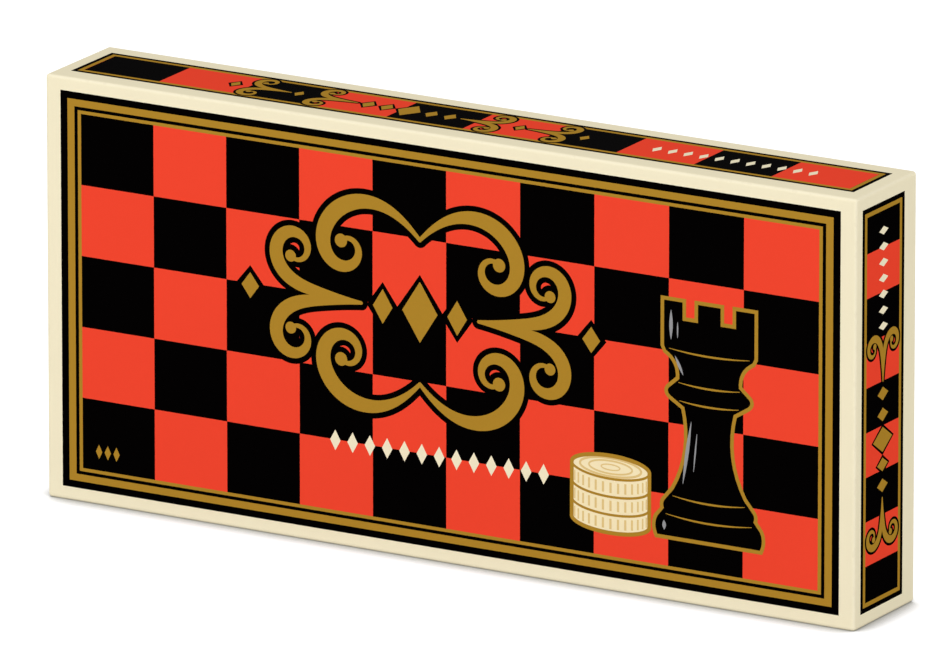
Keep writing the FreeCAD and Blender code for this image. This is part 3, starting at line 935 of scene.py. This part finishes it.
def stroke_widths(count, thick):
    """Widths of a pen stroke that swells between two thin ends."""
    shares = [n / (count - 1) for n in range(count)]
    swelling = [math.sin(math.pi * share) ** SWELL for share in shares]
    return [thick * (TIP_SHARE + (1 - TIP_SHARE) * share) for share in swelling]


def add_stroke(form, points, widths, level, mirror=(1, 1)):
    """One stroke as a slab, which a pair of signs may mirror."""
    left, right = [], []
    for n, point in enumerate(points):
        ahead = points[min(n + 1, len(points) - 1)] - points[max(n - 1, 0)]
        normal = Vector((-ahead.y, ahead.x)).normalized() * widths[n] / 2
        left.append(point + normal)
        right.append(point - normal)
    flip = Matrix.Diagonal(mirror)
    left = [flip @ place for place in unfolded(left, points)]
    right = [flip @ place for place in unfolded(right, points)]
    slab(form, left, right, level)


print("strokes in steps of", STEP, "mm")

# %% Scroll ornaments
FOUR_WAYS = ((1, 1), (-1, 1), (1, -1), (-1, -1))
BULB_SHARE = 0.80
DOT_SIDES = 40
STROKE_LIFT = 0.25
DOT_LIFT = 0.5
LOZENGE_GROW_SHARE = 0.62
big_scrolls = [((0.0, 33.0), 46.0, tall_runs, 7.8), ((30.0, 0.0), 4.0, long_runs, 6.8)]
front_lozenges = [(0, 0, 9.0, 14.0)]
for x, half_width, half_height in ((19, 5.0, 8.0), (87, 4.5, 6.0)):
    front_lozenges += [(side * x, 0, half_width, half_height) for side in (1, -1)]


def circle(x, y, radius):
    """Outline of a round dot."""
    turns = [math.tau * n / DOT_SIDES for n in range(DOT_SIDES)]
    return [(x + radius * math.cos(turn), y + radius * math.sin(turn)) for turn in turns]


def lozenge(x, y, half_width, half_height):
    """Outline of an upright lozenge."""
    return [(x - half_width, y), (x, y - half_height), (x + half_width, y), (x, y + half_height)]


def ornament(name, face, scrolls, lozenges, centre, scale, outline, **carrier):
    """Gold ornament with a black outline, drawn round the origin and then set on a face."""
    place = face @ Matrix.Translation((*centre, 0)) @ Matrix.Diagonal((scale, scale, 1, 1))
    layers = (("outline", outline / scale, UNDER, black_ink), ("gold", 0.0, OVER, gold_ink))
    for suffix, grow, level, material in layers:
        form = bmesh.new()
        dots = {}
        for start, heading, runs, thick in scrolls:
            points = scroll_path(start, heading, runs)
            widths = [width + grow for width in stroke_widths(len(points), thick)]
            for mirror in FOUR_WAYS:
                lift = STROKE_LIFT if mirror[0] * mirror[1] < 0 else 0.0
                add_stroke(form, points, widths, level + lift, mirror)
                for end, share in ((points[0], TIP_SHARE), (points[-1], BULB_SHARE)):
                    dots[mirror[0] * end.x, mirror[1] * end.y] = (share * thick + grow) / 2
        for (x, y), radius in dots.items():
            plate(form, circle(x, y, radius), level + DOT_LIFT)
        margin = LOZENGE_GROW_SHARE * grow
        for x, y, half_width, half_height in lozenges:
            plate(form, lozenge(x, y, half_width + margin, half_height + margin), level)
        ink_piece(f"{name}_{suffix}", form, place, material, **carrier)


large = dict(scale=0.97, outline=5.0)
ornament("front_scroll", front_face, big_scrolls, front_lozenges, (-13.0, 15.0), **large)
narrow = dict(scale=0.46, outline=2.3)
arms = [((start, 0.0), 3.0, long_runs, 7.2) for start in (56.0, 128.0)]
chain = [(0, 0, 12.0, 18.0)] + [(side * x, 0, 6.5, 10.0) for x in (24, 44) for side in (1, -1)]
far_chain = [(side * x, 0, 5.0, 8.0) for x in (119, 188) for side in (1, -1)]
ornament("top_scroll", top_face, arms, chain + far_chain, (-34.0, 0.0), **narrow)
for name, face in (("right_scroll", right_face), ("left_scroll", left_face)):
    ornament(name, face, arms[:1], chain, (-16.0, 0.0), **narrow)
small_on_base = dict(scale=0.56, outline=1.6, body="base", slot="plain_paper")
middle_lozenges = front_lozenges[:3]
for name, x in (("back_left_scroll", -116.0), ("back_right_scroll", 116.0)):
    ornament(name, back_face, big_scrolls, middle_lozenges, (x, 0.0), **small_on_base)
print("scroll ornaments on the front, the back, the top and both ends")

# %% [markdown]
# ## Rows of lozenges
#
# A row of equal marks is a job for Geometry Nodes: one lozenge, copied to evenly spaced points. The
# tree takes the count, the pitch and the size as named inputs, so the same tree serves the long row
# on the front, the short rows on the narrow faces and the small mark in the corner. It ends by
# making the copies real, and its result becomes a plain mesh before it joins the model.

# %% Lozenge row tree
row_inputs = {
    "Count": ("NodeSocketInt", 9), "Pitch": (FLOAT, 8.0), "Half Width": (FLOAT, 2.0),
    "Half Height": (FLOAT, 3.0), "Thickness": (FLOAT, 0.1), "Ink": ("NodeSocketMaterial", None),
}
row_outputs = {"Geometry": "NodeSocketGeometry"}
row_tree, given, made = new_group("lozenge row", row_inputs, row_outputs, "GeometryNodeTree")
step = add("ShaderNodeCombineXYZ", {"X": given["Pitch"]}).outputs[0]
last = minus(given["Count"], 1.0)
start = times(times(last, given["Pitch"]), -0.5)
start = add("ShaderNodeCombineXYZ", {"X": start}).outputs[0]
spacing = {"Count": given["Count"], "Start Location": start, "Offset": step}
points = add("GeometryNodeMeshLine", spacing)
halves = {0: given["Half Width"], 1: given["Half Height"], 2: 1.0}
size = add("ShaderNodeCombineXYZ", halves).outputs[0]
four_sided = {"Vertices": 4, "Radius": 1.0, "Depth": given["Thickness"]}
mark = add("GeometryNodeMeshCylinder", four_sided)
setting_out = {"Points": points.outputs[0], "Instance": mark.outputs["Mesh"], "Scale": size}
copies = add("GeometryNodeInstanceOnPoints", setting_out)
real = add("GeometryNodeRealizeInstances", {0: copies.outputs[0]})
inked = add("GeometryNodeSetMaterial", {"Geometry": real.outputs[0], "Material": given["Ink"]})
feed(made["Geometry"], inked.outputs[0])
print("tree:", row_tree.name)

# %% Lozenge rows
def grown(name, tree, values):
    """Plain mesh that a Geometry Nodes tree makes from its named inputs."""
    holder = new_object(name, bpy.data.meshes.new(name + "_seed"))
    modifier = holder.modifiers.new(name, "NODES")
    modifier.node_group = tree
    for item in tree.interface.items_tree:
        if item.in_out == "INPUT":
            modifier[item.identifier] = values[item.name]
    mesh = bpy.data.meshes.new_from_object(holder.evaluated_get(bpy.context.evaluated_depsgraph_get()))
    bpy.data.objects.remove(holder)
    return mesh


def lozenge_row(name, face, centre, material, count, pitch, half):
    """Row of printed lozenges on a face of the lid."""
    sizes = {"Count": count, "Pitch": pitch, "Half Width": half[0], "Half Height": half[1]}
    mesh = grown(name, row_tree, {**sizes, "Thickness": SUNK + LEVEL, "Ink": material})
    mesh.transform(face @ Matrix.Translation((*centre, (LEVEL - SUNK) / 2)))
    lay_print(name, mesh)
    print(name, len(mesh.polygons), "faces")


lozenge_row("front_lozenges", front_face, (-3.5, -48.0), cream_ink, count=13, pitch=8.6, half=(2.6, 4.6))
lozenge_row("corner_lozenges", front_face, (-169.5, -71.0), gold_ink, count=3, pitch=4.4, half=(1.6, 3.2))
lozenge_row("top_lozenges", top_face, (126.0, 0.0), cream_ink, count=11, pitch=7.6, half=(2.0, 4.2))
for name, face in (("right_lozenges", right_face), ("left_lozenges", left_face)):
    lozenge_row(name, face, (55.0, 0.0), cream_ink, count=7, pitch=7.0, half=(1.9, 4.0))

# %% [markdown]
# ## A tower and a stack of discs
#
# The right of the front panel hints at what is inside. This print has a plain upright tower and a
# stack of three discs, all flat ink drawn from a few rows of numbers. Each row bulges by a share of
# its length, so the outline has real curves, and the left half mirrors the right one.
# The discs are seen a little from above, so every circle is drawn as a flat ellipse.

# %% Outlines
ARC_STEPS = 8
RING_STEPS = 72
LINE_STEPS = 16
GLINT_STEPS = 12
SEEN_SHARE = 0.27


def bulged(rows):
    """Points through (x, y, bulge) rows, where a bulge bends the way to that row."""
    points = [Vector(rows[0][:2])]
    for x, y, bulge in rows[1:]:
        start, end = points[-1], Vector((x, y))
        chord = end - start
        push = Vector((chord.y, -chord.x)) * bulge
        steps = ARC_STEPS if bulge else 1
        for n in range(1, steps + 1):
            share = n / steps
            points.append(start + chord * share + push * 4 * share * (1 - share))
    return points


def rim(form, outline, width, level):
    """Line of one width along a closed outline."""
    left, right = [], []
    for n, point in enumerate(outline):
        before = (point - outline[n - 1]).normalized()
        after = (outline[(n + 1) % len(outline)] - point).normalized()
        ahead = (before + after).normalized()
        reach = width / 2 / max(ahead.dot(after), 0.5)
        normal = Vector((-ahead.y, ahead.x)) * reach
        left.append(point + normal)
        right.append(point - normal)
    slab(form, unfolded(left, outline), unfolded(right, outline), level, closed=True)


def ellipse(radius, height=0.0, first=0.0, last=360.0):
    """Points along a circle seen from above, from one angle to another."""
    turns = [math.radians(first + (last - first) * n / RING_STEPS) for n in range(RING_STEPS)]
    return [Vector((radius * math.cos(t), height + radius * SEEN_SHARE * math.sin(t))) for t in turns]


print("outlines with", RING_STEPS, "points a ring")

# %% Printed tower
tower_rows = [
    (25.0, 0.0, 0.0), (25.0, 8.0, 0.12), (21.8, 12.0, 0.0), (21.2, 16.0, 0.16), (17.0, 21.0, 0.0),
    (12.0, 58.0, -0.10), (18.5, 62.0, 0.0), (18.5, 66.5, 0.35), (14.5, 70.0, 0.0), (21.0, 82.0, -0.16),
    (22.0, 84.0, 0.0), (22.0, 104.0, 0.0), (13.0, 104.0, 0.0), (13.0, 96.0, 0.0), (5.5, 96.0, 0.0),
    (5.5, 104.0, 0.0),
]
tower_lines = ((9.6, 21.0, 1.6), (18.0, 17.6, 1.4), (60.5, 14.5, 1.0), (68.5, 15.0, 1.0), (83.0, 19.6, 1.2))
tower_glints = (
    ((-21.6, 2.4), (-21.8, 6.6), 1.6), ((-12.6, 24.0), (-8.6, 52.0), 1.5),
    ((-7.4, 30.0), (-5.8, 47.0), 0.5), ((-12.6, 72.0), (-16.6, 80.0), 1.2),
    ((-18.6, 87.0), (-18.6, 100.0), 1.5), ((-15.4, 88.0), (-15.4, 95.0), 0.5),
)
TOWER_PLACE = (129.0, -66.0)
RIM_WIDTH = 3.4
LINE_TIP = 0.25
LINE_SWELL = 0.65
GLINT_TIP = 0.2

tower_face = front_face @ Matrix.Translation((*TOWER_PLACE, 0))
right_side = bulged(tower_rows)
left_side = [Vector((-point.x, point.y)) for point in reversed(right_side)]
tower_outline = right_side + left_side
form = bmesh.new()
rim(form, tower_outline, RIM_WIDTH, RIM)
ink_piece("printed_tower_rim", form, tower_face, gold_ink)
form = bmesh.new()
plate(form, tower_outline, BODY)
ink_piece("printed_tower", form, tower_face, black_ink)
form = bmesh.new()
for height, half_width, sag in tower_lines:
    shares = [2 * n / LINE_STEPS - 1 for n in range(LINE_STEPS + 1)]
    line = [Vector((half_width * share, height - sag * (1 - share ** 2))) for share in shares]
    widths = [LINE_TIP + LINE_SWELL * math.cos(math.pi / 2 * share) for share in shares]
    add_stroke(form, line, widths, MARKS)
ink_piece("printed_tower_lines", form, tower_face, gold_ink)
form = bmesh.new()
for start, end, width in tower_glints:
    chord = Vector(end) - Vector(start)
    shares = [n / GLINT_STEPS for n in range(GLINT_STEPS + 1)]
    line = [Vector(start) + chord * share for share in shares]
    widths = [GLINT_TIP + width * math.sin(math.pi * share) for share in shares]
    add_stroke(form, line, widths, MARKS)
ink_piece("printed_tower_glints", form, tower_face, grey_ink)
print("tower of", len(tower_outline), "points")

# %% Printed stack of discs
STACK_PLACE = (81.0, -64.0)
DISC_RADIUS = 19.0
DISC_HEIGHT = 8.0
STACKED = 3
RIDGES = 16
RIDGE_HEIGHT = 4.6
RIDGE_LEAST = 0.3
RIDGE_SWELL = 0.8
DISC_RIM = 1.8
EDGE_WIDTH = 1.1
disc_rings = ((15.0, 1.0), (10.6, 0.8), (4.6, 0.58))

stack_face = front_face @ Matrix.Translation((*STACK_PLACE, 0))
stack_high = STACKED * DISC_HEIGHT
stack_outline = ellipse(DISC_RADIUS, 0.0, 180.0, 360.0) + ellipse(DISC_RADIUS, stack_high, 0.0, 180.0)
form = bmesh.new()
plate(form, stack_outline, UNDER)
ink_piece("printed_discs", form, stack_face, disc_ink)
form = bmesh.new()
rim(form, stack_outline, DISC_RIM, RIM)
for count in range(1, STACKED + 1):
    front_edge = ellipse(DISC_RADIUS, count * DISC_HEIGHT, 180.0, 360.0)
    add_stroke(form, front_edge, [EDGE_WIDTH] * len(front_edge), OVER)
ink_piece("printed_disc_lines", form, stack_face, gold_ink)
form = bmesh.new()
for radius, width in disc_rings:
    rim(form, ellipse(radius, stack_high), width, OVER)
for count in range(STACKED):
    for n in range(1, RIDGES):
        turn = math.pi * n / RIDGES
        start = Vector((DISC_RADIUS * math.cos(turn), -DISC_RADIUS * SEEN_SHARE * math.sin(turn)))
        start.y += count * DISC_HEIGHT + (DISC_HEIGHT - RIDGE_HEIGHT) / 2
        ridge = [start, start + Vector((0.0, RIDGE_HEIGHT))]
        width = RIDGE_LEAST + RIDGE_SWELL * math.sin(turn)
        add_stroke(form, ridge, [width] * len(ridge), OVER)
ink_piece("printed_disc_ridges", form, stack_face, tan_ink)
print("stack of", STACKED, "printed discs")

# %% [markdown]
# ## Studio, light and camera
#
# The photograph is a plain pack shot: white all round, light from every side, and a thin shadow where
# the box meets the floor. A white world lights the box evenly, three wide lamps shape it, and the
# camera looks from the right at the photographed angle through a long lens, which keeps the box's
# edges nearly parallel. Ambient occlusion keeps the floor dark only close to what stands on it.

# %% Floor
FLOOR_SIZE = 30.0
FLOOR_BELOW = 0.05
CONTACT_REACH = 14.0
FLOOR_LIFT = 0.80
FLOOR_GREY = (0.55, 0.55, 0.55, 1.0)
WHITE = (1.0, 1.0, 1.0, 1.0)


def seen_directly(tree):
    """1 on rays from the camera, also by way of gloss or glass, and 0 on rays that gather light."""
    path = add("ShaderNodeLightPath", {}, tree).outputs
    seen = maths("MAXIMUM", path["Is Glossy Ray"], path["Is Transmission Ray"])
    return maths("MAXIMUM", path["Is Camera Ray"], seen)


floor_mesh = bpy.data.meshes.new("studio_floor")
corner = FLOOR_SIZE / 2
corners = [(-corner, -corner, 0), (corner, -corner, 0), (corner, corner, 0), (-corner, corner, 0)]
floor_mesh.from_pydata(corners, [], [(0, 1, 2, 3)])
floor = new_object("studio_floor", floor_mesh)
floor.location.z = -FLOOR_BELOW * MM

paper_sweep, tree, surface = new_material("paper_sweep")
coat(surface, FLOOR_GREY, roughness=0.9, shine=0.0)
contact = add("ShaderNodeAmbientOcclusion", {"Distance": CONTACT_REACH * MM}, tree, samples=16)
open_floor = ramp(contact.outputs["AO"], 0.40, 0.95, 0.0, FLOOR_LIFT)
lifted = times(seen_directly(tree), open_floor)
lift = add("ShaderNodeEmission", {"Color": WHITE, "Strength": lifted})
both = add("ShaderNodeAddShader", {0: surface.outputs[0], 1: lift.outputs[0]})
feed(tree.nodes["Material Output"].inputs["Surface"], both.outputs[0])
floor_mesh.materials.append(paper_sweep)
print("floor of", FLOOR_SIZE, "m")

# %% Light
WORLD_LIGHT = 0.62
world = bpy.data.worlds.new("white_studio")
bpy.context.scene.world = world
world.use_nodes = True
tree = world.node_tree
background = tree.nodes["Background"]
background.inputs["Color"].default_value = WHITE
level = add("ShaderNodeMapRange", {0: seen_directly(tree), 3: WORLD_LIGHT, 4: 1.0})
feed(background.inputs["Strength"], level.outputs[0])


def lamp(name, place, size, power):
    """Wide soft lamp that faces the middle of the box."""
    light = bpy.data.lights.new(name, "AREA")
    light.shape = "DISK"
    light.size = size
    light.energy = power
    made = new_object(name, light)
    made.location = place
    made.rotation_euler = (box_middle - made.location).to_track_quat("-Z", "Y").to_euler()


lamp("front_softbox", (-0.9, -2.6, 1.1), size=1.6, power=35.0)
lamp("side_softbox", (2.8, -0.9, 0.9), size=1.4, power=27.0)
lamp("back_softbox", (-1.2, 2.7, 0.12), size=1.6, power=27.0)
print(len(bpy.data.lights), "lamps")

# %% Camera
AZIMUTH = math.radians(30.21)
ELEVATION = math.radians(16.09)
DISTANCE = 8.0
LENS = 709.5
AIM_LEFT = 1.2 * MM
AIM_UP = 0.77 * MM
toward = Vector((
    math.sin(AZIMUTH) * math.cos(ELEVATION), -math.cos(AZIMUTH) * math.cos(ELEVATION), math.sin(ELEVATION),
))
sideways = Vector((math.cos(AZIMUTH), math.sin(AZIMUTH), 0.0))
aim = Vector((0, 0, box_middle.z)) - sideways * AIM_LEFT + toward.cross(sideways) * AIM_UP
camera_data = bpy.data.cameras.new("pack_shot")
camera_data.lens = LENS
camera_data.sensor_width = 36.0
camera_data.clip_end = 100.0
camera = new_object("pack_shot", camera_data)
camera.location = aim + toward * DISTANCE
camera.rotation_euler = (-toward).to_track_quat("-Z", "Y").to_euler()
bpy.context.scene.camera = camera
bpy.context.scene.view_settings.view_transform = "Standard"
print("camera", [round(c, 3) for c in camera.location])
